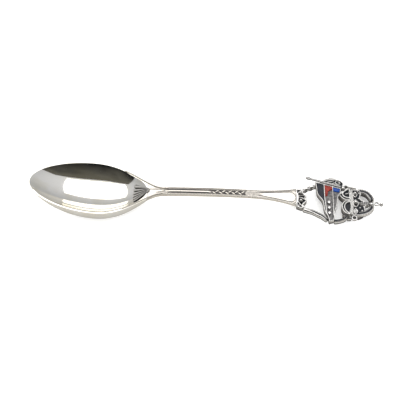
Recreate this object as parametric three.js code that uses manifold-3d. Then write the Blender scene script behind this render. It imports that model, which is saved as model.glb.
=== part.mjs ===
// A coffee spoon with an ornamental finial, laid on its back on a table.
// Millimetres, +Z up. The bowl points to -X and the finial to +X.
// The bowl is struck from sheet, the stem and the finial pieces are cast, and everything is joined with
// solder, so a hairline seam is left between neighbouring pieces and nothing moves.
import * as THREE from 'three';
import { mergeVertices } from 'three/addons/utils/BufferGeometryUtils.js';
import Module from 'manifold-3d';

const wasm = await Module();
wasm.setup();

// Driving dimensions. Lengths along the spoon are measured from the bowl's tip.
const SPOON_LENGTH = 109.6;
const SEAM = 0.05;

const BOWL_WIDEST_X = 20;
const BOWL_HALF_WIDTH = 9.7;
const BOWL_LOWEST_X = 24;
const BOWL_END_X = 36.4;
const BOWL_WALL = 1.3;
const WORN_FLAT = 0.1;
const RIM_WIDTH = 0.5;
const RIM_TIP_Z = 9.6;
const RIM_HEEL_Z = 5.5;
const HEEL_THICKNESS = 2.2;

const NECK_X = 41;
const STEM_HALF_WIDTH = 1.4;
const STEM_FLARE_X = 68;
const STEM_END_X = 82.4;
const STEM_END_THICKNESS = 1.5;

const CREST_TOP = 3.4;
const ARM_TOP = 3.2;
const FLAG_BACK = 2.2;
const FLAG_TOP = 3.8;
const CELL_DEPTH = 0.6;
const POLE_RADIUS = 0.36;
const POLE_Z = 3.9;
const SCROLL_TOP = 2.8;
const CROWN_TOP = 2.6;

const silver = { color: 0xd9d6cf, roughness: 0.16, metalness: 1 };
const oxidised = { color: 0x9d9a94, roughness: 0.34, metalness: 1 };
const navyGlass = { color: 0x1b212c, roughness: 0.12, metalness: 0 };
const redGlass = { color: 0x8f2b20, roughness: 0.16, metalness: 0 };
const blueGlass = { color: 0x1f4d9e, roughness: 0.14, metalness: 0 };

const spoon = new THREE.Group();

// Helpers for closed bodies.

function closed(geometry) {
  // Shared corners are merged and triangles that have shrunk to a line are dropped.
  geometry.deleteAttribute('normal');
  geometry.deleteAttribute('uv');
  const merged = mergeVertices(geometry, 1e-4);
  const corners = Array.from(merged.index.array);
  const kept = [];
  for (let i = 0; i < corners.length; i += 3) {
    const [a, b, c] = corners.slice(i, i + 3);
    if (a !== b && b !== c && c !== a) kept.push(a, b, c);
  }
  merged.setIndex(kept);
  return merged;
}

function reshape(geometry, place) {
  // Every vertex is moved to the point that place(vertex, index) gives.
  const position = geometry.attributes.position;
  const vertex = new THREE.Vector3();
  for (let i = 0; i < position.count; i += 1) {
    vertex.fromBufferAttribute(position, i);
    const moved = place(vertex, i);
    position.setXYZ(i, moved.x, moved.y, moved.z);
  }
  return closed(geometry);
}

function solid(geometry) {
  const body = closed(geometry);
  return new wasm.Manifold(new wasm.Mesh({
    numProp: 3,
    vertProperties: body.attributes.position.array,
    triVerts: Uint32Array.from(body.index.array),
  }));
}

function geometryOf(body) {
  const mesh = body.getMesh();
  const geometry = new THREE.BufferGeometry();
  geometry.setAttribute('position', new THREE.BufferAttribute(mesh.vertProperties, 3));
  geometry.setIndex(new THREE.BufferAttribute(mesh.triVerts, 1));
  return geometry;
}

function add(name, geometry, finish) {
  const mesh = new THREE.Mesh(geometry, new THREE.MeshStandardMaterial(finish));
  mesh.name = name;
  mesh.position.x = -SPOON_LENGTH / 2;
  spoon.add(mesh);
}

function plan(points) {
  return points.map(([x, y]) => new THREE.Vector3(x, y, 0));
}

function ribbon(points, halfWidth, low, high, sides = 8, steps = 14) {
  // A cast strand of oval section that follows a curve in plan; halfWidth(t) tapers it.
  const curve = new THREE.CatmullRomCurve3(plan(points), false, 'centripetal');
  const middle = (low + high) / 2;
  const halfHeight = (high - low) / 2;
  const blank = new THREE.CylinderGeometry(1, 1, 1, sides, steps);
  return reshape(blank, (vertex) => {
    const t = THREE.MathUtils.clamp(vertex.y + 0.5, 0, 1);
    const at = curve.getPointAt(t);
    const along = curve.getTangentAt(t);
    const side = vertex.x * halfWidth(t);
    return new THREE.Vector3(
      at.x + along.y * side,
      at.y - along.x * side,
      middle + vertex.z * halfHeight,
    );
  });
}

function plate(outline, low, high, curveSegments = 6) {
  const shape = outline instanceof THREE.Shape ? outline : new THREE.Shape(outline);
  const body = new THREE.ExtrudeGeometry(shape, {
    depth: high - low,
    bevelEnabled: false,
    curveSegments,
  });
  body.translate(0, 0, low);
  return closed(body);
}

function ball(x, y, z, radius, width = 14, height = 8) {
  const sphere = new THREE.SphereGeometry(radius, width, height);
  sphere.translate(x, y, z);
  return closed(sphere);
}

function ring(x, y, z, radius, wire) {
  const torus = new THREE.TorusGeometry(radius, wire, 8, 18);
  torus.translate(x, y, z);
  return closed(torus);
}

function block(x0, x1, y0, y1, z0, z1) {
  const box = new THREE.BoxGeometry(x1 - x0, y1 - y0, z1 - z0);
  box.translate((x0 + x1) / 2, (y0 + y1) / 2, (z0 + z1) / 2);
  return box;
}

// The bowl: egg-shaped in plan, with a narrow flat rim that climbs towards the tip.

function neckHalfWidth(x) {
  // The heel's shoulders run in a long curve to the width of the stem.
  const t = THREE.MathUtils.clamp((x - BOWL_WIDEST_X) / (NECK_X - BOWL_WIDEST_X), 0, 1);
  return STEM_HALF_WIDTH + (BOWL_HALF_WIDTH - STEM_HALF_WIDTH) * (1 - t ** 2.2) ** 1.75;
}

function rimZ(x) {
  // Highest at the tip, and level from three quarters of the way along.
  const climb = THREE.MathUtils.clamp(1 - x / 30, 0, 1);
  return RIM_HEEL_Z + (RIM_TIP_Z - RIM_HEEL_Z) * climb ** 1.35;
}

function halfWidthAt(x, inset) {
  // inset is 0 on the outside and the rim's width on the inside.
  if (x < BOWL_WIDEST_X) {
    const reach = (BOWL_WIDEST_X - x) / (BOWL_WIDEST_X - inset);
    return (BOWL_HALF_WIDTH - inset) * Math.max(1 - reach ** 1.88, 0) ** (1 / 1.88);
  }
  if (inset === 0) return neckHalfWidth(x);
  const t = (x - BOWL_WIDEST_X) / (BOWL_END_X - BOWL_WIDEST_X);
  return (neckHalfWidth(x) - inset) * Math.sqrt(Math.max(1 - t ** 12, 0));
}

function keelZ(x, inset) {
  // The lowest line of the outside (inset 0) or of the hollow. The outside is worn flat where it rests.
  const floor = inset === 0 ? -WORN_FLAT : BOWL_WALL;
  if (x < BOWL_LOWEST_X) {
    const reach = (BOWL_LOWEST_X - x) / (BOWL_LOWEST_X - inset);
    return floor + (rimZ(inset) - floor) * (0.85 * reach ** 2 + 0.15 * reach ** 4);
  }
  const t = (x - BOWL_LOWEST_X) / (BOWL_END_X - BOWL_LOWEST_X);
  if (inset === 0) return floor + (RIM_HEEL_Z - HEEL_THICKNESS - floor) * t ** 2.6;
  return floor + (rimZ(x) - floor) * Math.min(t, 1) ** 2.4;
}

function bowlZ(x, y, inset) {
  // Across the bowl the hollow is a circular arc from rim to rim, and the outside stands steeper.
  const halfWidth = Math.max(halfWidthAt(x, inset), 1e-6);
  const keel = keelZ(x, inset);
  const depth = Math.max(rimZ(x) - keel, 1e-6);
  const across = Math.min(Math.abs(y), halfWidth);
  if (inset === 0) {
    const drop = depth * (1 - (across / halfWidth) ** 3.2) ** (1 / 3.2);
    return Math.max(rimZ(x) - drop, 0);
  }
  const radius = (halfWidth ** 2 + depth ** 2) / (2 * depth);
  return keel + radius - Math.sqrt(Math.max(radius ** 2 - across ** 2, 0));
}

const BOWL_SEGMENTS = 56;
const HEEL_CORNER = (4 / BOWL_SEGMENTS) * 2 * Math.PI;

function bowlEdge(angle, inset) {
  // A point of the rim's outer or inner edge; angle 0 faces the stem.
  const side = Math.sign(Math.sin(angle));
  const cosine = Math.cos(angle);
  if (cosine < 0) {
    const x = BOWL_WIDEST_X - (BOWL_WIDEST_X - inset) * Math.abs(cosine) ** (2 / 1.88);
    return [x, side * halfWidthAt(x, inset)];
  }
  const reach = BOWL_END_X - BOWL_WIDEST_X;
  if (inset > 0) {
    const x = BOWL_WIDEST_X + reach * cosine;
    return [x, side * halfWidthAt(x, inset)];
  }
  const x = BOWL_WIDEST_X + reach * Math.min(cosine / Math.cos(HEEL_CORNER), 1);
  const turn = Math.abs(Math.atan2(Math.sin(angle), cosine));
  return [x, side * neckHalfWidth(x) * Math.min(turn / HEEL_CORNER, 1)];
}

function bowl() {
  const spread = [0, 0.12, 0.24, 0.4, 0.58, 0.73, 0.85, 0.93, 0.98, 1];
  const rings = [];
  spread.forEach((s) => rings.push({ s, inset: 0, onRim: false }));
  rings.push({ s: 1, inset: 0, onRim: true });
  spread.slice().reverse().forEach((s) => rings.push({ s, inset: RIM_WIDTH, onRim: s === 1 }));
  const profile = rings.map(({ s }, i) => new THREE.Vector2(s, i));
  const blank = new THREE.LatheGeometry(profile, BOWL_SEGMENTS);
  const body = reshape(blank, (vertex, index) => {
    const { s, inset, onRim } = rings[index % rings.length];
    const segment = Math.floor(index / rings.length) % BOWL_SEGMENTS;
    const [edgeX, edgeY] = bowlEdge((segment / BOWL_SEGMENTS) * 2 * Math.PI, inset);
    const x = BOWL_LOWEST_X + (edgeX - BOWL_LOWEST_X) * s;
    const y = edgeY * s;
    return new THREE.Vector3(x, y, onRim ? rimZ(x) : bowlZ(x, y, inset));
  });
  return body;
}

// The stem: a cast bar with a raised thread along each edge and a sunk channel between them.

function stemHalfWidth(x) {
  const t = Math.max((x - STEM_FLARE_X) / 15.5, 0);
  return neckHalfWidth(x) + 2.2 * t ** 2.2;
}

function stemTopZ(x) {
  const rise = Math.max(1 - (x - BOWL_END_X) / 12.5, 0);
  const fall = Math.max((x - 50) / 34, 0);
  return 5.83 - (5.83 - RIM_HEEL_Z) * rise ** 1.8 - 2.35 * fall ** 2.4;
}

function stem() {
  const section = new THREE.Shape([
    [1, -0.14], [0.92, 0], [0.74, 0], [0.6, -0.14], [0.3, -0.2], [0, -0.12],
    [-0.3, -0.2], [-0.6, -0.14], [-0.74, 0], [-0.92, 0], [-1, -0.14],
    [-1, -0.4], [-0.8, -0.78], [-0.42, -0.96], [0.42, -0.96], [0.8, -0.78], [1, -0.4],
  ].map(([y, z]) => new THREE.Vector2(y, z)));
  const blank = new THREE.ExtrudeGeometry(section, { depth: 1, steps: 46, bevelEnabled: false });
  return reshape(blank, (vertex) => {
    const x = BOWL_END_X + SEAM + (STEM_END_X - BOWL_END_X - SEAM) * vertex.z;
    const thickness = THREE.MathUtils.lerp(HEEL_THICKNESS, STEM_END_THICKNESS, vertex.z);
    // Extrusion runs along the section's third axis, which becomes the spoon's length.
    return new THREE.Vector3(x, vertex.x * stemHalfWidth(x), stemTopZ(x) + vertex.y * thickness);
  });
}

// The fluted fan at the stem's root, lying on the heel of the bowl.

function heelFan() {
  const flutes = 8;
  const root = new THREE.Vector2(35.4, 0);
  const spreadAngle = THREE.MathUtils.degToRad(46);
  const blank = new THREE.BoxGeometry(1, 1, 1, flutes * 3, 5, 1);
  return reshape(blank, (vertex) => {
    const across = vertex.x * 2;
    const out = vertex.y + 0.5;
    const angle = across * spreadAngle;
    const ridge = Math.abs(Math.cos((vertex.x + 0.5) * flutes * Math.PI));
    const reach = 3.1 / Math.cos(angle) ** 0.7 - 0.3 * ridge;
    const x = root.x - (0.5 + out * reach) * Math.cos(angle);
    const y = root.y + (0.75 + out * reach) * Math.sin(angle);
    const bed = bowlZ(x, y, RIM_WIDTH) + 0.12;
    const thickness = 0.18 + 0.22 * (1 - ridge) * Math.sin(Math.PI * (0.15 + 0.8 * out));
    return new THREE.Vector3(x, y, bed + (vertex.z > 0 ? thickness : 0));
  });
}

// The leaf crest that ends the stem, and the two arms that hold the flag.

function crest() {
  const shape = new THREE.Shape();
  shape.moveTo(STEM_END_X + SEAM, -3.3);
  shape.lineTo(STEM_END_X + SEAM, 3.3);
  shape.quadraticCurveTo(83.6, 3.9, 84.6, 3.0);
  shape.quadraticCurveTo(84.9, 2.3, 84.5, 1.9);
  shape.quadraticCurveTo(85.9, 1.2, 85.5, 0.1);
  shape.quadraticCurveTo(86.0, -0.9, 85.2, -1.7);
  shape.quadraticCurveTo(84.5, -2.0, 84.6, -2.6);
  shape.quadraticCurveTo(85.2, -3.4, 84.5, -3.9);
  shape.quadraticCurveTo(83.4, -4.0, STEM_END_X + SEAM, -3.3);
  return plate(shape, CREST_TOP - STEM_END_THICKNESS, CREST_TOP, 4);
}

const upperArm = ribbon(
  [[84.85, 2.9], [85.8, 3.15], [87.0, 3.7], [88.35, 4.4]],
  (t) => 0.42 + 0.16 * t, 1.5, ARM_TOP,
);
const lowerArm = ribbon(
  [[84.95, -3.8], [86.2, -4.55], [87.6, -5.1], [89.4, -6.0], [91.5, -7.6]],
  (t) => 0.32 + 0.7 * Math.sin(Math.PI * t ** 1.6), 1.5, ARM_TOP,
);

// The enamelled flag hangs from a pole: a plate with a raised border and two raised dividers.

const POLE_START = new THREE.Vector2(85.5, 7.55);
const POLE_END = new THREE.Vector2(96.4, 4.2);

function poleY(x) {
  const t = (x - POLE_START.x) / (POLE_END.x - POLE_START.x);
  return THREE.MathUtils.lerp(POLE_START.y, POLE_END.y, t);
}

function flagOutline(inset) {
  // The fly waves down both sides; inset moves the edge inwards.
  const head = POLE_RADIUS + 0.12 + inset;
  const hoist = [[88.7, 2.2], [89.75, 0], [90.4, -2], [90.7, -4.4], [91.8, -6.8], [92.3, -8.85]];
  const fly = [[93.9, -8.3], [94.25, -5.6], [94.9, -3.2], [95.35, -1], [95.4, 1]];
  const left = hoist.map(([x, y]) => new THREE.Vector2(x + inset, y));
  const right = fly.map(([x, y]) => new THREE.Vector2(x - inset, y));
  left[left.length - 1].y += inset;
  right[0].y += inset;
  const shape = new THREE.Shape();
  shape.moveTo(88.5 + inset, poleY(88.5 + inset) - head);
  shape.splineThru(left);
  shape.lineTo(right[0].x, right[0].y);
  shape.splineThru(right.slice(1).concat(new THREE.Vector2(96.5 - inset, poleY(96.5) - head)));
  return shape;
}

const DIVIDERS = [91.25, 93.85];
const DIVIDER_WIDTH = 0.42;
const BORDER = 0.5;

function flagCell(index, clearance, low, high) {
  // One of the three sunk fields between the border and the dividers.
  const edges = [80, ...DIVIDERS, 100];
  const start = edges[index] + DIVIDER_WIDTH / 2 + clearance;
  const end = edges[index + 1] - DIVIDER_WIDTH / 2 - clearance;
  const field = solid(plate(flagOutline(BORDER + clearance), low, high));
  return field.intersect(solid(block(start, end, -20, 20, low - 1, high + 1)));
}

function flagPlate() {
  let body = solid(plate(flagOutline(0), FLAG_BACK, FLAG_TOP));
  for (const index of [0, 1, 2]) {
    body = body.subtract(flagCell(index, 0, FLAG_TOP - CELL_DEPTH, FLAG_TOP + 1));
  }
  return geometryOf(body);
}

function enamel(index, lowestY) {
  // Fired glass that fills a field from the pole down to lowestY.
  const floor = FLAG_TOP - CELL_DEPTH + SEAM;
  const fill = flagCell(index, SEAM, floor, FLAG_TOP - 0.12);
  return geometryOf(fill.intersect(solid(block(80, 100, lowestY, 20, floor - 1, FLAG_TOP))));
}

function flagStud(y) {
  // A small lozenge standing on the floor of the middle field.
  const low = FLAG_TOP - CELL_DEPTH + SEAM;
  const lozenge = new THREE.CylinderGeometry(0.3, 0.5, FLAG_TOP + 0.1 - low, 4);
  lozenge.rotateX(Math.PI / 2);
  lozenge.translate(92.55, y, (FLAG_TOP + 0.1 + low) / 2);
  return closed(lozenge);
}

// The crown: a circlet with a bright bar at its foot, three arches, a pierced orb and a ball.

function circlet() {
  const shape = new THREE.Shape();
  shape.moveTo(99.5, 4.3);
  shape.lineTo(101.5, 4.15);
  shape.quadraticCurveTo(102.5, -1, 101.6, -5.2);
  shape.lineTo(99.75, -5.2);
  shape.closePath();
  return plate(shape, 0, CROWN_TOP - 0.1);
}

function leafScroll() {
  const shape = new THREE.Shape();
  const clear = POLE_RADIUS + 0.14;
  shape.moveTo(89.6, poleY(89.6) + clear);
  shape.quadraticCurveTo(91.6, 8.5, 93.6, 8.5);
  shape.quadraticCurveTo(96.2, 8.4, 97.6, 6.4);
  shape.lineTo(96.6, poleY(96.6) + clear);
  shape.closePath();
  return plate(shape, 1.6, SCROLL_TOP);
}

add('bowl', bowl(), silver);
add('heel_fan', heelFan(), oxidised);
add('stem', stem(), silver);
add('stem_crest', crest(), oxidised);
add('crest_pearl_upper', ball(83.9, 1.7, CREST_TOP + 0.5, 0.46), silver);
add('crest_pearl_lower', ball(83.9, -1.25, CREST_TOP + 0.5, 0.46), silver);
add('upper_arm', upperArm, oxidised);
add('lower_arm', lowerArm, oxidised);

add('flag_plate', flagPlate(), silver);
add('enamel_navy', enamel(0, -20), navyGlass);
add('enamel_red', enamel(1, 0.9), redGlass);
add('enamel_blue', enamel(2, 3.0), blueGlass);
[-1.6, -3.6, -5.6].forEach((y, i) => add(`flag_stud_${i + 1}`, flagStud(y), silver));

const poleDirection = new THREE.Vector2().subVectors(POLE_END, POLE_START).normalize();
const poleStep = (distance) => [
  POLE_START.x + poleDirection.x * distance,
  POLE_START.y + poleDirection.y * distance,
];
const poleLength = POLE_START.distanceTo(POLE_END);
add('flag_pole', ribbon(
  [poleStep(1.8 + SEAM), poleStep(poleLength)],
  () => POLE_RADIUS, POLE_Z - POLE_RADIUS, POLE_Z + POLE_RADIUS, 10, 1,
), silver);
add('pole_head', ribbon(
  [poleStep(0), poleStep(0.9), poleStep(1.8)],
  (t) => 0.2 + 0.3 * Math.sin(Math.PI * (0.1 + 0.8 * t)), POLE_Z - 0.45, POLE_Z + 0.45, 10, 8,
), silver);
add('pole_knob', ball(97.15, 4.05, POLE_Z - 0.3, 0.6), silver);

add('leaf_scroll', leafScroll(), oxidised);
add('lower_scroll', ribbon(
  [[94.25, -8.5], [95.8, -8.05], [97.1, -7.2], [97.6, -6.1], [97.0, -5.3], [96.2, -5.6]],
  (t) => 0.62 - 0.2 * t, 0.8, SCROLL_TOP, 8, 20,
), oxidised);
add('upper_swag', ribbon(
  [[98.2, 2.7], [97.55, 1.8], [97.55, 0.6], [98.2, -0.2]],
  (t) => 0.35 + 0.3 * Math.sin(Math.PI * t), 0.8, 3,
), oxidised);
add('lower_swag', ribbon(
  [[98.25, -0.95], [97.6, -2.0], [97.6, -3.7], [98.35, -4.9]],
  (t) => 0.35 + 0.35 * Math.sin(Math.PI * t), 0.8, 3,
), oxidised);

add('crown_bar', ribbon([[99.0, 4.3], [99.3, -5.3]], () => 0.32, 1.2, 3.2, 10, 1), silver);
add('circlet', circlet(), oxidised);
add('circlet_bead', ball(100.5, 2.5, CROWN_TOP + 0.5, 0.55), silver);
add('circlet_jewel', ball(100.75, -0.9, CROWN_TOP + 0.65, 0.7, 8, 6), silver);
add('circlet_ring', ring(100.2, -6.35, 1.7, 0.72, 0.3), silver);
add('ring_link', ribbon([[98.2, -6.45], [99.1, -6.38]], () => 0.34, 0.9, 2.4, 8, 2), oxidised);
add('crown_corner', ribbon(
  [[97.9, 6.0], [99.4, 5.15], [101.4, 4.8]],
  (t) => 0.38 + 0.1 * Math.sin(Math.PI * t), 0.8, SCROLL_TOP,
), oxidised);
add('arch_upper', ribbon(
  [[101.85, 3.65], [103.2, 3.8], [104.4, 3.3], [105.3, 2.35], [105.9, 1.1], [106.0, 0.15]],
  () => 0.7, 0.5, CROWN_TOP, 8, 20,
), oxidised);
add('arch_middle', ribbon([[102.12, -0.9], [105.05, -0.9]], () => 0.72, 0.5, CROWN_TOP, 8, 6), oxidised);
add('arch_lower', ribbon(
  [[101.85, -5.1], [103.4, -4.8], [104.7, -4.1], [105.6, -3.1], [105.95, -1.9]],
  () => 0.7, 0.5, CROWN_TOP, 8, 20,
), oxidised);
add('crown_boss', ball(105.85, -0.88, 1.7, 0.72), oxidised);
add('orb_ring', ring(107.52, -0.65, 1.9, 0.58, 0.27), silver);
add('orb_ball', ball(SPOON_LENGTH - 0.6, -0.65, 1.9, 0.6), silver);

export default spoon;
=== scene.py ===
import math

import bmesh
import bpy
import numpy as np
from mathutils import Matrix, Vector


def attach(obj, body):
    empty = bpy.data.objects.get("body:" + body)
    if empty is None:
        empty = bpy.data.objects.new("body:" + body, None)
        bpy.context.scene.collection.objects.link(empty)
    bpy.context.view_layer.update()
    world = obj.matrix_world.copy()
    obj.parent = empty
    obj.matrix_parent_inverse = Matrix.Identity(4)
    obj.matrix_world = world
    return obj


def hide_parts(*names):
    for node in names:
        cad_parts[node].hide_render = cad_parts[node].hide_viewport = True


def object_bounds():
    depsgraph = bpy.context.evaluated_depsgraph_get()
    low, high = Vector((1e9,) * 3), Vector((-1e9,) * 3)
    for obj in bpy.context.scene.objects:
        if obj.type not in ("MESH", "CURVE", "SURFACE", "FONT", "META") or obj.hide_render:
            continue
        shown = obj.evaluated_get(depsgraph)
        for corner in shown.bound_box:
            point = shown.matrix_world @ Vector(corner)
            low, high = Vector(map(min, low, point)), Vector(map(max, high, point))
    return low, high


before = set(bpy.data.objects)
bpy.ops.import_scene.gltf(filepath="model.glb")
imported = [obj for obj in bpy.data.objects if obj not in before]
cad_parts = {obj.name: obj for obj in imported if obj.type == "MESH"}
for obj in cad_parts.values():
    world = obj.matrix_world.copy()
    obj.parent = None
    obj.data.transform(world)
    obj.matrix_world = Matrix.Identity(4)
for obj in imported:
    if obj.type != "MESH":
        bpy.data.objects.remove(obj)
cad_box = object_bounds()

# The studio: the camera, a white table, soft light from above and around, and one dark card.
# The card stands for the dark room in front of the spoon. Only polished metal sees it. The table's
# colour is a painted reflection: metal mirrors it greyer than it is, as if in shade, so that silver
# keeps an edge against white. The table also has a painted glow, which lightens the shadows on it.
mm = 0.001
tip_x = cad_box[0].x


def at(x, y, z):
    """A point given in millimetres from the bowl's tip, in the frame's metres."""
    return Vector((tip_x + x * mm, y * mm, z * mm))


camera_data = bpy.data.cameras.new("camera")
camera_data.lens = 86.6
camera_data.sensor_width = 36
camera = bpy.data.objects.new("camera", camera_data)
bpy.context.collection.objects.link(camera)
look_at = at(55.2, -2.26, 0)
azimuth, elevation, distance = math.radians(1.66), math.radians(55), 0.312
away = Vector((
    math.sin(azimuth) * math.cos(elevation),
    -math.cos(azimuth) * math.cos(elevation),
    math.sin(elevation),
))
camera.location = look_at + away * distance
camera.rotation_euler = (-away).to_track_quat("-Z", "Y").to_euler()
bpy.context.scene.camera = camera
bpy.context.scene.view_settings.view_transform = "Standard"


def node_material(name, kind="ShaderNodeBsdfPrincipled"):
    """A new material with an empty tree, its shader and its output."""
    material = bpy.data.materials.new(name)
    material.use_nodes = True
    tree = material.node_tree
    tree.nodes.clear()
    shader = tree.nodes.new(kind)
    output = tree.nodes.new("ShaderNodeOutputMaterial")
    tree.links.new(shader.outputs[0], output.inputs["Surface"])
    return material, tree, shader


def flat_card(name, corners, material):
    """A flat four-cornered piece of the stage."""
    mesh = bpy.data.meshes.new(name)
    mesh.from_pydata([Vector(c) for c in corners], [], [(0, 1, 2, 3)])
    mesh.materials.append(material)
    card = bpy.data.objects.new(name, mesh)
    bpy.context.collection.objects.link(card)
    return card


table_paint, tree, shader = node_material("white_table")
shader.inputs["Roughness"].default_value = 0.6
shader.inputs["Specular IOR Level"].default_value = 0.2
# Painted reflection: glossy rays see the table a shaded grey (B), and all other rays see it white (A).
in_silver = tree.nodes.new("ShaderNodeLightPath")
white_and_painted_grey = tree.nodes.new("ShaderNodeMix")
white_and_painted_grey.data_type = "RGBA"
white_and_painted_grey.inputs["A"].default_value = (0.93, 0.93, 0.925, 1)
white_and_painted_grey.inputs["B"].default_value = (0.40, 0.39, 0.365, 1)
tree.links.new(in_silver.outputs["Is Glossy Ray"], white_and_painted_grey.inputs["Factor"])
tree.links.new(white_and_painted_grey.outputs["Result"], shader.inputs["Base Color"])
# Painted glow: the table gives off its own colour faintly, which lightens the shadows cast on it.
tree.links.new(white_and_painted_grey.outputs["Result"], shader.inputs["Emission Color"])
shader.inputs["Emission Strength"].default_value = 0.22
table_half, table_z = 1.6, -0.00002
flat_card("table", [
    (-table_half, -table_half, table_z), (table_half, -table_half, table_z),
    (table_half, table_half, table_z), (-table_half, table_half, table_z),
], table_paint)

dark_room, tree, shader = node_material("dark_room", "ShaderNodeEmission")
grain = tree.nodes.new("ShaderNodeTexNoise")
grain.inputs["Scale"].default_value = 5
tones = tree.nodes.new("ShaderNodeValToRGB")
tones.color_ramp.elements[0].position = 0.2
tones.color_ramp.elements[0].color = (0.016, 0.016, 0.016, 1)
tones.color_ramp.elements[1].position = 0.75
tones.color_ramp.elements[1].color = (0.12, 0.115, 0.095, 1)
on_card = tree.nodes.new("ShaderNodeTexCoord")
height_up = tree.nodes.new("ShaderNodeSeparateXYZ")
clouds = tree.nodes.new("ShaderNodeMath")
clouds.operation = "MULTIPLY_ADD"
clouds.inputs[1].default_value = 0.6
clouds.inputs[2].default_value = -0.25
lighter_upwards = tree.nodes.new("ShaderNodeMath")
lighter_upwards.operation = "MULTIPLY_ADD"
lighter_upwards.inputs[1].default_value = 1.6
tree.links.new(on_card.outputs["Object"], grain.inputs["Vector"])
tree.links.new(on_card.outputs["Object"], height_up.inputs["Vector"])
tree.links.new(grain.outputs["Fac"], clouds.inputs[0])
tree.links.new(height_up.outputs["Z"], lighter_upwards.inputs[0])
tree.links.new(clouds.outputs["Value"], lighter_upwards.inputs[2])
tree.links.new(lighter_upwards.outputs["Value"], tones.inputs["Fac"])
tree.links.new(tones.outputs["Color"], shader.inputs["Color"])
dark_card = flat_card("dark_card", [
    (-0.62, -0.40, -0.06), (0.62, -0.40, -0.06), (0.42, -0.22, 0.52), (-0.62, -0.22, 0.60),
], dark_room)
dark_card.visible_camera = False
dark_card.visible_diffuse = False
dark_card.visible_shadow = False
dark_card.visible_transmission = False

world = bpy.data.worlds.new("studio")
world.use_nodes = True
tree = world.node_tree
background = tree.nodes["Background"]
sky_direction = tree.nodes.new("ShaderNodeTexCoord")
sky_height = tree.nodes.new("ShaderNodeSeparateXYZ")
sky = tree.nodes.new("ShaderNodeValToRGB")
sky.color_ramp.elements[0].position = 0.3
sky.color_ramp.elements[0].color = (0.8, 0.81, 0.82, 1)
sky.color_ramp.elements[1].position = 0.95
sky.color_ramp.elements[1].color = (1.3, 1.3, 1.3, 1)
background.inputs["Strength"].default_value = 0.58
tree.links.new(sky_direction.outputs["Generated"], sky_height.inputs["Vector"])
tree.links.new(sky_height.outputs["Z"], sky.inputs["Fac"])
tree.links.new(sky.outputs["Color"], background.inputs["Color"])
bpy.context.scene.world = world


def soft_light(name, where, aim, size, watts, seen_in_silver=True):
    """A rectangular light that looks at a point."""
    data = bpy.data.lights.new(name, "AREA")
    data.shape = "RECTANGLE"
    data.size, data.size_y = size
    data.energy = watts
    light = bpy.data.objects.new(name, data)
    bpy.context.collection.objects.link(light)
    light.location = where
    light.rotation_euler = (Vector(aim) - Vector(where)).to_track_quat("-Z", "Y").to_euler()
    light.visible_glossy = seen_in_silver


soft_light("overhead", (-0.08, 0.20, 0.62), (-0.08, 0.20, 0), (0.80, 0.80), 2.3)
fills = [
    ("front_fill", (0, -0.7, 0.3), 7.0),
    ("back_fill", (0, 0.7, 0.3), 3.5),
    ("left_fill", (-0.75, 0, 0.3), 3.5),
    ("right_fill", (0.75, 0, 0.3), 3.5),
]
for name, where, watts in fills:
    soft_light(name, where, (0, 0, 0), (1.2, 0.6), watts, seen_in_silver=False)

# The bowl: struck from one sheet of silver, egg-shaped, with a thin lip that climbs to the tip.
# It is polished to a mirror and carries the fine scratches of use. The stem is soldered to its heel.
widest_x, half_width, lowest_x, bowl_end_x = 20, 9.7, 24, 36.4
wall, worn_flat, rim_width = 1.3, 0.1, 0.5
rim_tip_z, rim_heel_z, heel_thickness = 9.6, 5.5, 2.2
neck_x, stem_half_width = 41, 1.4
tip_power, belly_power = 1.88, 3.2  # 2 would make an ellipse, and more is squarer


def neck_half_width(x):
    """Half the width behind the widest place, where the bowl runs into the stem."""
    t = min(max((x - widest_x) / (neck_x - widest_x), 0), 1)
    return stem_half_width + (half_width - stem_half_width) * (1 - t**2.2) ** 1.75


def rim_z(x):
    """The lip's height, which climbs towards the tip."""
    climb = min(max(1 - x / 30, 0), 1)
    return rim_heel_z + (rim_tip_z - rim_heel_z) * climb**1.35


def bowl_half_width(x, inset):
    """Half the width of the outer outline, or of the hollow when inset is the lip's width."""
    if x < widest_x:
        reach = (widest_x - x) / (widest_x - inset)
        return (half_width - inset) * max(1 - reach**tip_power, 0) ** (1 / tip_power)
    if inset == 0:
        return neck_half_width(x)
    t = (x - widest_x) / (bowl_end_x - widest_x)
    return (neck_half_width(x) - inset) * math.sqrt(max(1 - t**12, 0))


def keel_z(x, inset):
    """The height along the bowl's middle line, under it or inside it."""
    floor = wall if inset else -worn_flat
    if x < lowest_x:
        reach = (lowest_x - x) / (lowest_x - inset)
        return floor + (rim_z(inset) - floor) * (0.85 * reach**2 + 0.15 * reach**4)
    t = min((x - lowest_x) / (bowl_end_x - lowest_x), 1)
    if inset == 0:
        return floor + (rim_heel_z - heel_thickness - floor) * t**2.6
    return floor + (rim_z(x) - floor) * t**2.4


def bowl_z(x, y, inset):
    """The height of the bowl's outer or inner face."""
    width = max(bowl_half_width(x, inset), 1e-6)
    keel = keel_z(x, inset)
    depth = max(rim_z(x) - keel, 1e-6)
    across = min(abs(y), width)
    if inset == 0:
        return max(rim_z(x) - depth * (1 - (across / width) ** belly_power) ** (1 / belly_power), 0)
    radius = (width**2 + depth**2) / (2 * depth)
    return keel + radius - math.sqrt(max(radius**2 - across**2, 0))


bowl_segments = 224
heel_corner = 10 / bowl_segments * math.tau


def bowl_edge(angle, inset):
    """The outline's point at an angle around the bowl."""
    side = math.copysign(1, math.sin(angle))
    cosine = math.cos(angle)
    if cosine < 0:
        x = widest_x - (widest_x - inset) * abs(cosine) ** (2 / tip_power)
        return x, side * bowl_half_width(x, inset)
    reach = bowl_end_x - widest_x
    if inset:
        x = widest_x + reach * cosine
        return x, side * bowl_half_width(x, inset)
    x = widest_x + reach * min(cosine / math.cos(heel_corner), 1)
    turn = abs(math.atan2(math.sin(angle), cosine))
    return x, side * neck_half_width(x) * min(turn / heel_corner, 1)


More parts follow.
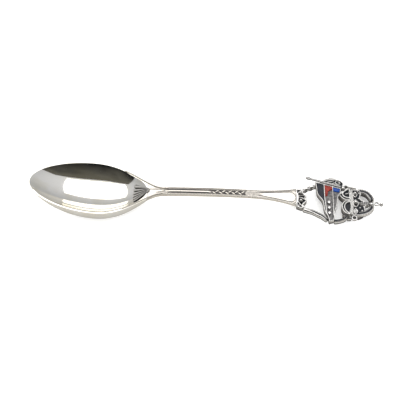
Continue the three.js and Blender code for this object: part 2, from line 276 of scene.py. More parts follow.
def piece(name, points, faces, material, replaced=(), smooth=True, oxide_and_painted_shade=None):
    """A finished piece: its mesh in place, riding on the spoon's only body."""
    mesh = bpy.data.meshes.new(name)
    mesh.from_pydata(points, [], faces)
    mesh.validate()
    shading = smooth if isinstance(smooth, list) else [smooth] * len(mesh.polygons)
    mesh.polygons.foreach_set("use_smooth", shading)
    if oxide_and_painted_shade is not None:
        layer = mesh.attributes.new("oxide_and_painted_shade", "FLOAT", "POINT")
        layer.data.foreach_set("value", oxide_and_painted_shade)
    mesh.materials.append(material)
    made = bpy.data.objects.new(name, mesh)
    bpy.context.collection.objects.link(made)
    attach(made, "root")
    if replaced:
        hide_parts(*replaced)
    return made


def lattice(rings, columns, closed_columns=True):
    """Quads between neighbouring rings of points, numbered ring by ring."""
    faces = []
    last = columns if closed_columns else columns - 1
    for r in range(rings - 1):
        for c in range(last):
            d = (c + 1) % columns
            faces.append((r * columns + c, r * columns + d, (r + 1) * columns + d, (r + 1) * columns + c))
    return faces


def cloud_noise(tree, scale, detail):
    """A noise texture that lies in the piece's own coordinates."""
    place = tree.nodes.new("ShaderNodeTexCoord")
    clouds = tree.nodes.new("ShaderNodeTexNoise")
    clouds.inputs["Scale"].default_value = scale
    clouds.inputs["Detail"].default_value = detail
    tree.links.new(place.outputs["Object"], clouds.inputs["Vector"])
    return clouds


def dent(tree, shader, texture, strength, depth):
    """Dents the surface by a texture."""
    bump = tree.nodes.new("ShaderNodeBump")
    bump.inputs["Strength"].default_value = strength
    bump.inputs["Distance"].default_value = depth
    tree.links.new(texture.outputs["Fac"], bump.inputs["Height"])
    tree.links.new(bump.outputs["Normal"], shader.inputs["Normal"])


def silver_material(name, tone, roughness, scratch):
    """Polished silver: a little yellow tarnish in clouds, hairline scratches and hand-rubbed gloss."""
    material, tree, shader = node_material(name)
    nodes, links = tree.nodes, tree.links
    shader.inputs["Metallic"].default_value = 1
    clouds = cloud_noise(tree, 160, 4)
    tint = nodes.new("ShaderNodeValToRGB")
    tint.color_ramp.elements[0].position = 0.38
    tint.color_ramp.elements[0].color = (tone[0] * 0.93, tone[1] * 0.91, tone[2] * 0.84, 1)
    tint.color_ramp.elements[1].position = 0.6
    tint.color_ramp.elements[1].color = (*tone, 1)
    links.new(clouds.outputs["Fac"], tint.inputs["Fac"])
    links.new(tint.outputs["Color"], shader.inputs["Base Color"])
    rubbed = nodes.new("ShaderNodeMapRange")
    rubbed.inputs["To Min"].default_value = roughness * 0.7
    rubbed.inputs["To Max"].default_value = roughness * 1.5
    links.new(clouds.outputs["Fac"], rubbed.inputs["Value"])
    links.new(rubbed.outputs["Result"], shader.inputs["Roughness"])
    place = nodes.new("ShaderNodeTexCoord")
    along = nodes.new("ShaderNodeMapping")
    along.inputs["Rotation"].default_value = (0, 0, 0.5)
    along.inputs["Scale"].default_value = (400, 9000, 4000)
    hairs = nodes.new("ShaderNodeTexNoise")
    hairs.inputs["Scale"].default_value = 1
    hairs.inputs["Detail"].default_value = 2
    links.new(place.outputs["Object"], along.inputs["Vector"])
    links.new(along.outputs["Vector"], hairs.inputs["Vector"])
    dent(tree, shader, hairs, scratch, 0.00001)
    return material


mirror_silver = silver_material("mirror_silver", (0.93, 0.915, 0.885), 0.06, 0.05)

turns = 34
spread = [math.sin(math.pi / 2 * k / turns) for k in range(turns + 1)]
bowl_rings = [(s, 0, False) for s in spread[1:]]
bowl_rings.append((1, 0, True))
bowl_rings += [(s, rim_width, s == 1) for s in reversed(spread[1:])]
points = []
for s, inset, on_rim in bowl_rings:
    for segment in range(bowl_segments):
        edge_x, edge_y = bowl_edge(segment / bowl_segments * math.tau, inset)
        x = lowest_x + (edge_x - lowest_x) * s
        y = edge_y * s
        points.append(at(x, y, rim_z(x) if on_rim else bowl_z(x, y, inset)))
faces = lattice(len(bowl_rings), bowl_segments)
under, inside = len(points), len(points) + 1
points += [at(lowest_x, 0, 0), at(lowest_x, 0, wall)]
last_ring = (len(bowl_rings) - 1) * bowl_segments
for c in range(bowl_segments):
    d = (c + 1) % bowl_segments
    faces.append((under, d, c))
    faces.append((inside, last_ring + c, last_ring + d))
bowl = piece("bowl_struck", points, faces, mirror_silver, ["bowl"])


def finish_edges(made, width=0):
    """Merges doubled points, turns faces outwards and, given a width, rounds the sharp edges."""
    mesh = bmesh.new()
    mesh.from_mesh(made.data)
    bmesh.ops.remove_doubles(mesh, verts=mesh.verts, dist=2e-7)
    bmesh.ops.dissolve_degenerate(mesh, edges=mesh.edges, dist=2e-7)
    bmesh.ops.recalc_face_normals(mesh, faces=mesh.faces)
    mesh.to_mesh(made.data)
    mesh.free()
    if width:
        bevel = made.modifiers.new("rounded_edges", "BEVEL")
        bevel.width = width * mm
        bevel.segments = 4
        bevel.limit_method = "ANGLE"
        bevel.angle_limit = math.radians(38)


finish_edges(bowl, 0.22)

# The stem: a cast bar of silver. Threads run along its edges, two blackened grooves lie beside a
# middle rib, and it ends in a sunk, bright teardrop panel. A leaf spray is chased halfway along.
stem_start_x, stem_end_x, stem_flare_x, stem_end_thickness = 36.45, 82.4, 68, 1.5
rib_start_x, rib_end_x, spray_end_x, panel_start_x = 41, 56.5, 66.3, 67.2
groove_y, groove_width, panel_length, panel_close_x = 0.52, 0.17, 15.2, 80.2


def stem_width(x):
    """Half the stem's width, which flares towards the crest."""
    return neck_half_width(x) + 2.2 * max((x - stem_flare_x) / 15.5, 0) ** 2.2


def stem_top(x):
    """The crown line of the stem, a shallow bow from the bowl's heel down to the crest."""
    rise = max(1 - (x - bowl_end_x) / 12.5, 0)
    fall = max((x - 50) / 34, 0)
    return 5.83 - (5.83 - rim_heel_z) * rise**1.8 - 2.35 * fall**2.4


def smooth_step(x, start, end):
    """0 before the start, 1 after the end, and an even ramp between them."""
    t = min(max((x - start) / (end - start), 0), 1)
    return t * t * (3 - 2 * t)


def half_round(distance, radius):
    """The height of a half-round moulding across its width, from 0 to 1."""
    return math.sqrt(max(1 - (distance / radius) ** 2, 0))


def stem_relief(x, y, width):
    """Height over the stem's crown line, and blackening, of a point of its face."""
    edge = width - abs(y)
    settled = smooth_step(x, stem_start_x, rib_start_x)
    height, black = -0.2 * settled, 0.05 + 0.27 * settled
    middle = smooth_step(x, rib_start_x, rib_start_x + 3) * (1 - smooth_step(x, spray_end_x, panel_start_x))
    groove = math.exp(-((abs(y) - groove_y) / groove_width) ** 2) * middle
    height -= 0.22 * groove
    black += 0.75 * groove
    if rib_end_x - 2 < x < panel_start_x:
        ground = smooth_step(x, rib_end_x - 2, rib_end_x) * (1 - smooth_step(x, spray_end_x, panel_start_x))
        ground *= 1 - smooth_step(abs(y), 0.65, 0.9)
        height -= 0.12 * ground
        black = max(black, 0.7 * ground)
    rib = half_round(y, 0.34) * middle * (1 - smooth_step(x, rib_end_x - 1.5, rib_end_x))
    tongue_width = 0.95 * math.sqrt(max(1 - (x - stem_start_x) / 5.4, 0)) + 1e-6
    tongue = half_round(y, tongue_width)
    if x > panel_start_x:
        closing = math.sqrt(max(1 - (max(x - panel_close_x, 0) / 2.1) ** 2, 0))
        panel = (0.12 + 1.95 * ((x - panel_start_x) / panel_length) ** 1.35) * closing + 1e-6
        sunk = max(1 - (y / panel) ** 2, 0)
        outline = math.exp(-((abs(y) - panel - 0.1) / 0.14) ** 2)
        depth = smooth_step(x, panel_start_x + 2.5, panel_start_x + 7)
        height += -0.16 * sunk * depth - 0.2 * outline * depth + 0.14 * (1 - depth)
        black = max(0.9 * outline * smooth_step(x, 68, 72), 0.32 * (1 - depth)) * (1 - sunk * depth)
        height += 0.14 * half_round(edge - 0.22 - (width - panel) * 0.38, 0.16) * depth
    thread = half_round(edge - 0.17, 0.19)
    second = half_round(edge - 0.47, 0.12)
    height = max(height, -0.2 + 0.22 * thread, -0.24 + 0.16 * second, -0.2 + 0.2 * rib, -0.2 + 0.28 * tongue)
    seam = math.exp(-((edge - 0.36) / 0.08) ** 2)
    black = max(black * (1 - max(thread, second * 0.8, rib, tongue)), 0.85 * seam)
    return height, black


def blackened_silver(name, tone, dark, roughness, scratch=0.25):
    """Silver left dark in its sunk places and rubbed bright on its high ones, by a per-point attribute that
    holds oxide in the hollows and painted shade under strands, pearls and casting walls.
    """
    material, tree, shader = node_material(name)
    nodes, links = tree.nodes, tree.links
    shader.inputs["Metallic"].default_value = 1
    oxide_and_painted_shade = nodes.new("ShaderNodeAttribute")
    oxide_and_painted_shade.attribute_name = "oxide_and_painted_shade"
    rubbing = cloud_noise(tree, 1300, 5)
    broken = nodes.new("ShaderNodeMath")
    broken.operation = "MULTIPLY_ADD"
    broken.inputs[1].default_value = 0.5
    links.new(rubbing.outputs["Fac"], broken.inputs[0])
    links.new(oxide_and_painted_shade.outputs["Fac"], broken.inputs[2])
    tone_ramp = nodes.new("ShaderNodeValToRGB")
    tone_ramp.color_ramp.elements[0].position = 0.36
    tone_ramp.color_ramp.elements[0].color = (*tone, 1)
    tone_ramp.color_ramp.elements[1].position = 1
    tone_ramp.color_ramp.elements[1].color = (*dark, 1)
    halfway = tone_ramp.color_ramp.elements.new(0.66)
    halfway.color = (tone[0] * 0.42, tone[1] * 0.41, tone[2] * 0.41, 1)
    links.new(broken.outputs["Value"], tone_ramp.inputs["Fac"])
    links.new(tone_ramp.outputs["Color"], shader.inputs["Base Color"])
    gloss = nodes.new("ShaderNodeMapRange")
    gloss.inputs["From Min"].default_value = 0.25
    gloss.inputs["To Min"].default_value = roughness
    gloss.inputs["To Max"].default_value = roughness + 0.28
    links.new(broken.outputs["Value"], gloss.inputs["Value"])
    links.new(gloss.outputs["Result"], shader.inputs["Roughness"])
    dent(tree, shader, rubbing, scratch, 0.00003)
    return material


stem_silver = blackened_silver("stem_silver", (0.8, 0.755, 0.685), (0.06, 0.055, 0.055), 0.2, 0.2)

stem_steps, face_columns, under_columns = 340, 76, 26
points, oxide_and_painted_shade = [], []
for step in range(stem_steps + 1):
    x = stem_start_x + (stem_end_x - stem_start_x) * step / stem_steps
    width = stem_width(x)
    thickness = heel_thickness + (stem_end_thickness - heel_thickness) * step / stem_steps
    for column in range(face_columns):
        y = width * (2 * column / (face_columns - 1) - 1)
        height, black = stem_relief(x, y, width)
        points.append(at(x, y, stem_top(x) + height))
        oxide_and_painted_shade.append(black)
    for column in range(1, under_columns):
        turn = math.pi * column / under_columns
        y = width * math.copysign(abs(math.cos(turn)) ** 0.7, math.cos(turn))
        points.append(at(x, y, stem_top(x) - thickness * (0.14 + 0.82 * math.sin(turn) ** 0.8)))
        oxide_and_painted_shade.append(0.12)
ring_count = face_columns + under_columns - 1
faces = lattice(stem_steps + 1, ring_count)
last_ring = stem_steps * ring_count
faces.append(tuple(reversed(range(ring_count))))
faces.append(tuple(range(last_ring, last_ring + ring_count)))
shading = [True] * (len(faces) - 2) + [False] * 2
stem = piece("stem_cast", points, faces, stem_silver, ["stem"], shading, oxide_and_painted_shade)
finish_edges(stem)

# Rows of small cast shapes: the spray's leaves, and the beads on the circlet and the arches.
# Each row follows a path. Its unit is a small dome, leaned to one side and the other in turn.


def smooth_path(points, count):
    """Evenly spaced points on a smooth curve through the given ones."""
    knots = np.array(points, float)
    ends = np.vstack([2 * knots[0] - knots[1], knots, 2 * knots[-1] - knots[-2]])
    fine = []
    for i in range(len(knots) - 1):
        a, b, c, d = ends[i:i + 4]
        for t in np.linspace(0, 1, 24, endpoint=False):
            square, cube = t * t, t**3
            fine.append(0.5 * (
                2 * b + (c - a) * t + (2 * a - 5 * b + 4 * c - d) * square + (3 * b - a - 3 * c + d) * cube
            ))
    fine = np.array(fine + [knots[-1]])
    run = np.r_[0, np.cumsum(np.linalg.norm(np.diff(fine, axis=0), axis=1))]
    even = np.linspace(0, run[-1], count)
    return np.column_stack([np.interp(even, run, fine[:, k]) for k in range(fine.shape[1])])


def row_tree():
    """Geometry nodes that set a small dome at every step of a path, leaning left and right in turn."""
    tree = bpy.data.node_groups.new("row_of_domes", "GeometryNodeTree")
    sockets = tree.interface
    sockets.new_socket("Geometry", in_out="INPUT", socket_type="NodeSocketGeometry")
    sockets.new_socket("Dome size", in_out="INPUT", socket_type="NodeSocketVector")
    sockets.new_socket("Spacing", in_out="INPUT", socket_type="NodeSocketFloat")
    sockets.new_socket("Lean", in_out="INPUT", socket_type="NodeSocketFloat")
    sockets.new_socket("Side step", in_out="INPUT", socket_type="NodeSocketFloat")
    sockets.new_socket("Finish", in_out="INPUT", socket_type="NodeSocketMaterial")
    sockets.new_socket("Geometry", in_out="OUTPUT", socket_type="NodeSocketGeometry")
    nodes, links = tree.nodes, tree.links
    given = nodes.new("NodeGroupInput")
    result = nodes.new("NodeGroupOutput")
    curve = nodes.new("GeometryNodeMeshToCurve")
    spaced = nodes.new("GeometryNodeResampleCurve")
    spaced.mode = "LENGTH"
    dome = nodes.new("GeometryNodeMeshUVSphere")
    dome.inputs["Segments"].default_value = 14
    dome.inputs["Rings"].default_value = 8
    dome.inputs["Radius"].default_value = 1
    index = nodes.new("GeometryNodeInputIndex")
    parity = nodes.new("ShaderNodeMath")
    parity.operation = "MODULO"
    parity.inputs[1].default_value = 2
    side = nodes.new("ShaderNodeMath")
    side.operation = "MULTIPLY_ADD"
    side.inputs[1].default_value = 2
    side.inputs[2].default_value = -1
    lean = nodes.new("ShaderNodeMath")
    lean.operation = "MULTIPLY"
    turn = nodes.new("ShaderNodeCombineXYZ")
    away_from_path = nodes.new("ShaderNodeMath")
    away_from_path.operation = "MULTIPLY"
    shift = nodes.new("ShaderNodeCombineXYZ")
    moved = nodes.new("GeometryNodeSetPosition")
    to_points = nodes.new("GeometryNodeCurveToPoints")
    to_points.mode = "EVALUATED"
    facing = nodes.new("FunctionNodeAlignRotationToVector")
    facing.axis = "X"
    leaned = nodes.new("FunctionNodeRotateRotation")
    leaned.rotation_space = "LOCAL"
    to_rotation = nodes.new("FunctionNodeEulerToRotation")
    path_tangent = nodes.new("GeometryNodeInputTangent")
    store = nodes.new("GeometryNodeStoreNamedAttribute")
    store.data_type = "FLOAT_VECTOR"
    store.inputs["Name"].default_value = "path_direction"
    stored = nodes.new("GeometryNodeInputNamedAttribute")
    stored.data_type = "FLOAT_VECTOR"
    stored.inputs["Name"].default_value = "path_direction"
    placed = nodes.new("GeometryNodeInstanceOnPoints")
    real = nodes.new("GeometryNodeRealizeInstances")
    painted = nodes.new("GeometryNodeSetMaterial")
    links.new(given.outputs["Geometry"], curve.inputs["Mesh"])
    links.new(curve.outputs["Curve"], spaced.inputs["Curve"])
    links.new(given.outputs["Spacing"], spaced.inputs["Length"])
    links.new(spaced.outputs["Curve"], store.inputs["Geometry"])
    links.new(path_tangent.outputs["Tangent"], store.inputs["Value"])
    links.new(store.outputs["Geometry"], to_points.inputs["Curve"])
    links.new(index.outputs["Index"], parity.inputs[0])
    links.new(parity.outputs["Value"], side.inputs[0])
    links.new(side.outputs["Value"], lean.inputs[0])
    links.new(given.outputs["Lean"], lean.inputs[1])
    links.new(lean.outputs["Value"], turn.inputs["Z"])
    links.new(side.outputs["Value"], away_from_path.inputs[0])
    links.new(given.outputs["Side step"], away_from_path.inputs[1])
    links.new(away_from_path.outputs["Value"], shift.inputs["Y"])
    links.new(to_points.outputs["Points"], moved.inputs["Geometry"])
    links.new(shift.outputs["Vector"], moved.inputs["Offset"])
    links.new(moved.outputs["Geometry"], placed.inputs["Points"])
    links.new(dome.outputs["Mesh"], placed.inputs["Instance"])
    links.new(stored.outputs["Attribute"], facing.inputs["Vector"])
    links.new(facing.outputs["Rotation"], leaned.inputs["Rotation"])
    links.new(turn.outputs["Vector"], to_rotation.inputs["Euler"])
    links.new(to_rotation.outputs["Rotation"], leaned.inputs["Rotate By"])
    links.new(leaned.outputs["Rotation"], placed.inputs["Rotation"])
    links.new(given.outputs["Dome size"], placed.inputs["Scale"])
    links.new(placed.outputs["Instances"], real.inputs["Geometry"])
    links.new(real.outputs["Geometry"], painted.inputs["Geometry"])
    links.new(given.outputs["Finish"], painted.inputs["Material"])
    links.new(painted.outputs["Geometry"], result.inputs["Geometry"])
    return tree


row_of_domes = row_tree()


def row(name, path, size, spacing, material, lean=0, side_step=0):
    """A row of small domes along a path, all in millimetres."""
    mesh = bpy.data.meshes.new(name + "_path")
    route = [at(*point) for point in smooth_path(path, 60)]
    mesh.from_pydata(route, [(k, k + 1) for k in range(len(route) - 1)], [])
    carrier = bpy.data.objects.new(name + "_path", mesh)
    bpy.context.collection.objects.link(carrier)
    modifier = carrier.modifiers.new("row", "NODES")
    modifier.node_group = row_of_domes
    wanted = {
        "Dome size": [length * mm for length in size],
        "Spacing": spacing * mm,
        "Lean": lean,
        "Side step": side_step * mm,
        "Finish": material,
    }
    for socket in row_of_domes.interface.items_tree:
        if socket.in_out == "INPUT" and socket.name in wanted:
            modifier[socket.identifier] = wanted[socket.name]
    seen = carrier.evaluated_get(bpy.context.evaluated_depsgraph_get())
    domes = bpy.data.meshes.new_from_object(seen)
    domes.name = name
    domes.polygons.foreach_set("use_smooth", [True] * len(domes.polygons))
    bpy.data.objects.remove(carrier)
    made = bpy.data.objects.new(name, domes)
    bpy.context.collection.objects.link(made)
    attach(made, "root")


spray_line = [(x, 0, stem_top(x) - 0.2) for x in (57, 61.5, 66)]
row("spray_leaves", spray_line, (0.78, 0.26, 0.2), 0.95, stem_silver, 0.6, 0.3)

# The fan: six cast silver flutes that spread from the stem's root over the heel of the bowl. They
# are soldered down, rubbed bright on top and left dark between.
flutes, flute_columns, fan_rows = 6, 16, 30
fan_root_x, fan_spread = 37.4, math.radians(31)
fan_silver = blackened_silver("fan_silver", (0.9, 0.88, 0.84), (0.05, 0.047, 0.043), 0.3, 0.12)

fan_columns = flutes * flute_columns
points, oxide_and_painted_shade = [], []
for bed in (True, False):
    for r in range(fan_rows + 1):
        out = r / fan_rows
        for c in range(fan_columns + 1):
            place_in_flute = (c % flute_columns) / flute_columns * 2 - 1
            crown = half_round(place_in_flute, 0.82)
            angle = (2 * c / fan_columns - 1) * fan_spread
            reach = 5.5 / math.cos(angle) ** 0.5 - 0.5 * (1 - crown)
            x = fan_root_x - (0.2 + out * reach) * math.cos(angle)
            y = (0.8 + out * reach) * math.sin(angle)
            z = bowl_z(x, y, rim_width) + 0.05
            if not bed:
                z += 0.05 + 0.42 * crown * math.sin(math.pi * (0.12 + 0.8 * out))
            points.append(at(x, y, z))
            oxide_and_painted_shade.append(0.85 * (1 - crown) ** 0.6)
layer = (fan_rows + 1) * (fan_columns + 1)
width_count = fan_columns + 1
lower = lattice(fan_rows + 1, width_count, closed_columns=False)
faces = [tuple(reversed(face)) for face in lower]
faces += [tuple(corner + layer for corner in face) for face in lower]
border = list(range(width_count)) + [r * width_count + fan_columns for r in range(1, fan_rows + 1)]
border += [fan_rows * width_count + c for c in range(fan_columns - 1, -1, -1)]
border += [r * width_count for r in range(fan_rows - 1, 0, -1)]
for a, b in zip(border, border[1:] + border[:1]):
    faces.append((a, b, b + layer, a + layer))
fan = piece("heel_flutes", points, faces, fan_silver, ["heel_fan"], True, oxide_and_painted_shade)
finish_edges(fan)

# The crest: a cast leaf soldered to the end of the stem, its veins rubbed bright and its ground left
# dark, with two silver pearls set in collars.
finial_silver = blackened_silver("finial_silver", (0.86, 0.845, 0.82), (0.045, 0.047, 0.052), 0.2, 0.3)


def nearness(x, y, path, half_width):
    """How high a half-round line along the path stands at each point, from 0 to 1."""
    route = smooth_path(path, 16 * len(path)) if len(path) > 1 else np.array(path, float)
    gap = np.full(x.shape, 1e9)
    for px, py in route[:, :2]:
        gap = np.minimum(gap, (x - px) ** 2 + (y - py) ** 2)
    return np.clip(1 - (gap / half_width**2) ** 1.5, 0, 1) ** (1 / 3)


def casting(name, near_edge, far_edge, low, top, sink, lines, material, replaced,
            columns=90, rows=60, border=0.2, darkness=0.95, dome=0.0):
    """A flat-backed casting between two edges in plan, sunk inside a raised border.

    Each of the lines, (path, half width), stands up from the sunk face. A dome raises its middle.
    """
    near, far = smooth_path(near_edge, columns + 1), smooth_path(far_edge, columns + 1)
    across = np.linspace(0, 1, rows + 1)[None, :, None]
    plan = near[:, None, :] * (1 - across) + far[:, None, :] * across
    x, y = plan[..., 0], plan[..., 1]
    rim = np.concatenate([plan[:, 0], plan[-1, 1:], plan[-2::-1, -1], plan[0, -2:0:-1]])
    gap = np.full(x.shape, 1e9)
    for px, py in rim:
        gap = np.minimum(gap, (x - px) ** 2 + (y - py) ** 2)
    gap = np.sqrt(gap)
    high = np.clip(1 - (abs(gap - border) / border) ** 3, 0, 1) ** (1 / 3)
    for path, half_width in lines:
        high = np.maximum(high, nearness(x, y, path, half_width))
    middle = np.clip(gap / max(gap.max(), 1e-6), 0, 1)
    z = top - sink + sink * high + dome * np.sqrt(middle)
    black = darkness * (1 - high) ** 0.7
    points, oxide_and_painted_shade = [], []
    for i in range(columns + 1):
        for j in range(rows + 1):
            points.append(at(x[i, j], y[i, j], z[i, j]))
            oxide_and_painted_shade.append(float(black[i, j]) if 0 < i < columns and 0 < j < rows else 0.3)
    faces = lattice(columns + 1, rows + 1, closed_columns=False)
    shading = [True] * len(faces)
    brink = [i * (rows + 1) for i in range(columns + 1)]
    brink += [columns * (rows + 1) + j for j in range(1, rows + 1)]
    brink += [i * (rows + 1) + rows for i in range(columns - 1, -1, -1)]
    brink += list(range(rows - 1, 0, -1))
    first = len(points)
    # Painted shade: the side walls are blackened towards their foot, as if in the shade under the casting's
    # edge.
    for height, tone in ((low + 0.05, 0.75), (low, 0.1)):
        for px, py in rim:
            points.append(at(px, py, height))
            oxide_and_painted_shade.append(tone)
    foot = list(range(first, first + len(brink)))
    under = list(range(first + len(brink), first + 2 * len(brink)))
    for k in range(len(brink)):
        n = (k + 1) % len(brink)
        faces.append((brink[k], brink[n], foot[n], foot[k]))
        faces.append((foot[k], foot[n], under[n], under[k]))
        shading += [True, True]
    faces.append(tuple(under))
    shading.append(False)
    made = piece(name, points, faces, material, replaced, shading, oxide_and_painted_shade)
    finish_edges(made)


crest_right = [
    (82.7, -3.4), (84.0, -3.85), (84.9, -3.3), (84.6, -2.45), (85.2, -1.8), (85.75, -0.9),
    (85.4, 0.1), (85.65, 1.1), (84.7, 1.9), (84.75, 2.7), (84.1, 3.3), (82.7, 3.35),
]
crest_veins = [
    ([(82.5, -1.9), (82.9, -0.9), (83.0, 0.2), (82.9, 1.3), (82.5, 2.2)], 0.35),
    ([(82.7, 0.3), (84, 0.1), (85.5, -0.7)], 0.2),
    ([(82.7, -0.9), (83.6, -2.2), (84.6, -3.5)], 0.22),
    ([(82.7, 1.2), (83.6, 2.4), (84.3, 2.9)], 0.2),
    ([(83.3, 0.9), (84.4, 1), (85.3, 1)], 0.16),
    ([(83.3, -2.6), (83.1, -3.3)], 0.2),
    ([(84.7, -2.1)], 0.3),
]
casting("crest_leaf", [(82.45, -3.3), (82.45, 3.3)], crest_right, 1.9, 3.55, 0.6, crest_veins,
        finial_silver, ["stem_crest"], border=0.22)


def pearl(name, x, y, z, radius, collar, replaced):
    """A ball standing in a small collar, dark where the two meet: oxide in the join, and painted shade that
    fades up the ball's lower side to a bright crown.
    """
    foot = -0.95
    profile = [
        (0.7, foot, 0.5), (collar, -0.8, 0.5), (collar, -0.55, 0.5),
        (collar * 0.9, -0.42, 1), (0.86, -0.4, 1),
    ]
    # Painted shade: the ball's lower side is blackened, fading out towards its crown.
    for k in range(11):
        lift = math.radians(-18 + 108 * k / 11)
        profile.append((math.cos(lift), math.sin(lift), max(0.5 - 0.1 * k, 0)))
    around = 28
    points, oxide_and_painted_shade = [], []
    for r, h, black in profile:
        for k in range(around):
            turn = math.tau * k / around
            points.append(at(
                x + r * radius * math.cos(turn), y + r * radius * math.sin(turn), z + h * radius,
            ))
            oxide_and_painted_shade.append(black)
    rings = len(profile)
    faces = lattice(rings, around)
    bottom, crown = len(points), len(points) + 1
    points += [at(x, y, z + foot * radius), at(x, y, z + radius)]
    oxide_and_painted_shade += [0.5, 0]
    for k in range(around):
        n = (k + 1) % around
        faces.append((bottom, n, k))
        faces.append((crown, (rings - 1) * around + k, (rings - 1) * around + n))
    made = piece(name, points, faces, finial_silver, replaced, True, oxide_and_painted_shade)
    finish_edges(made)


pearl("crest_pearl_top", 83.9, 1.7, 3.9, 0.46, 1.15, ["crest_pearl_upper"])
pearl("crest_pearl_foot", 83.9, -1.25, 3.9, 0.46, 1.15, ["crest_pearl_lower"])

# The two arms: cast silver strands soldered between the crest and the flag, which they carry. The
# upper is twisted like rope, the lower is double. Both are left dark in their grooves.


def headings(route):
    """The direction, one unit long, at each point of a route."""
    direction = np.gradient(route, axis=0)
    return direction / np.linalg.norm(direction, axis=1)[:, None]


def strand(name, path, half_width, low, high, carve, replaced, material=finial_silver,
           steps=120, around=36):
    """A cast strand along a path in plan, with rounded ends.

    half_width(t) tapers it. carve(t, turn) gives the section's swelling and its blackening, and turn
    is a quarter circle on top. The lower half of every section is also painted dark as shade.
    """
    middle, half_height = (low + high) / 2, (high - low) / 2
    rise = np.array([1 - math.cos(math.pi / 2 * k / 6) for k in range(6)])
    route_points = 400
    route = smooth_path(path, route_points)
    length = np.linalg.norm(np.diff(route, axis=0), axis=1).sum()
    tip = min(half_width(0), half_width(1)) * 0.8 / length
    stations = np.concatenate([rise * tip, np.linspace(tip, 1 - tip, steps), 1 - rise[::-1] * tip])
    direction = headings(route)
    points, oxide_and_painted_shade = [], []
    for t in stations:
        along = t * (route_points - 1)
        px, py = (np.interp(along, range(route_points), route[:, k]) for k in (0, 1))
        dx, dy = (np.interp(along, range(route_points), direction[:, k]) for k in (0, 1))
        inside = min(min(t, 1 - t) / tip, 1)
        cap = max(math.sqrt(max(1 - (1 - inside) ** 2, 0)), 0.02)
        for k in range(around):
            turn = math.tau * k / around
            swell, black = carve(t, turn)
            # Painted shade: the lower half of each section is blackened, as if in the shadow under the
            # strand.
            downward = -math.sin(turn)
            painted_underside_shade = smooth_step(downward, -0.3, 0.2) * (1 - smooth_step(downward, 0.75, 0.95))
            black = max(black, 0.95 * painted_underside_shade)
            side = math.cos(turn) * half_width(t) * swell * cap
            lift = math.sin(turn) * half_height * swell * cap
            points.append(at(px + dy * side, py - dx * side, middle + lift))
            oxide_and_painted_shade.append(black)
    rings = len(stations)
    faces = lattice(rings, around)
    faces.append(tuple(reversed(range(around))))
    faces.append(tuple(range((rings - 1) * around, rings * around)))
    made = piece(name, points, faces, material, replaced, True, oxide_and_painted_shade)
    finish_edges(made)


def top_groove(turn, width):
    """1 in the middle of the top of a strand, falling to 0 at its sides."""
    gap = (turn - math.pi / 2 + math.pi) % math.tau - math.pi
    return math.exp(-(gap / width) ** 2)


def rope(t, turn):
    """Two strands twisted together."""
    twist = math.sin(2 * turn + 15 * t)
    return 0.88 + 0.12 * twist, 0.45 * smooth_step(-twist, 0.1, 0.9)


def double_strand(t, turn):
    """One strand that splits into two along its length."""
    split = top_groove(turn, 0.42) * (0.25 + 0.75 * smooth_step(t, 0.1, 0.55))
    return 1 - 0.42 * split, min(1.1 * split, 1)


def grooved(t, turn):
    """A strand with a broad groove along its top."""
    split = top_groove(turn, 0.62)
    return 1 - 0.3 * split, min(1.15 * split, 1)


strand("arm_upper", [(84.5, 3.1), (85.7, 3.75), (87, 4.4), (88.6, 5.1)], lambda t: 0.66 + 0.16 * t,
       1.5, 3.4, rope, ["upper_arm"])
strand("arm_lower", [(84.4, -3.75), (86.3, -4.3), (87.7, -4.75), (89.2, -5.6), (90.6, -6.5), (91.9, -7.8)],
       lambda t: 0.62 + 0.22 * math.sin(math.pi * t), 1.5, 3.4, double_strand,
       ["lower_arm"], steps=160)

# The shoulder threads: two thin silver strands that leave the stem on either side and die away along
# the shoulders of the bowl. They are part of the stem's casting, soldered down with it.
for name, side in (("shoulder_thread_far", 1), ("shoulder_thread_near", -1)):
    shoulder = [(x, side * (neck_half_width(x) - 0.36)) for x in (29, 31, 33, 35, 37, 39, 41, 43)]
    strand(name, shoulder, lambda t: 0.14 + 0.2 * t, 5.0, 5.86, lambda t, turn: (1, 0.1),
           [], stem_silver)

# The flag: a cast silver plate with a raised border and two dividers. Enamel is fired into its upper
# fields, three small studs stand in the middle one, and it hangs from a pole with a head and a knob.
pole_start, pole_end = np.array((85.5, 7.55)), np.array((96.4, 4.2))
flag_top, cell_depth, pole_z, pole_radius = 3.85, 0.62, 3.9, 0.36


def pole_y(x):
    """The pole's middle line."""
    return np.interp(x, (pole_start[0], pole_end[0]), (pole_start[1], pole_end[1]))


def under_pole(x, gap=0.48):
    """A point in plan a gap below the pole's middle line."""
    return (x, float(pole_y(x)) - gap)


hoist = [
    (88.75, 3.8), (88.85, 2.2), (89.2, 1), (89.95, -0.1), (90.5, -1.1), (90.75, -2.3), (90.85, -3.7),
    (91.1, -5), (91.7, -6.2), (92.05, -7.3), (92.3, -8.85),
]
fly = [
    (96.2, 1.8), (95.6, 0.9), (95.35, -0.2), (95.2, -1.4), (94.9, -3), (94.55, -4.2), (94.2, -5.4),
    (94.1, -7), (93.8, -8.4),
]
dividers = [
    ([under_pole(91.25), (91.3, 0), (91.5, -2.5), (91.6, -4.5), (91.6, -6.2)], 0.2),
    ([under_pole(93.85), (93.85, 0), (93.8, -6.4)], 0.2),
]
casting("flag_casting", [under_pole(88.5)] + hoist, [under_pole(96.5)] + fly, 2.2, flag_top, cell_depth,
        dividers, finial_silver, ["flag_plate"],
        columns=230, rows=120, border=0.17, darkness=0.62)


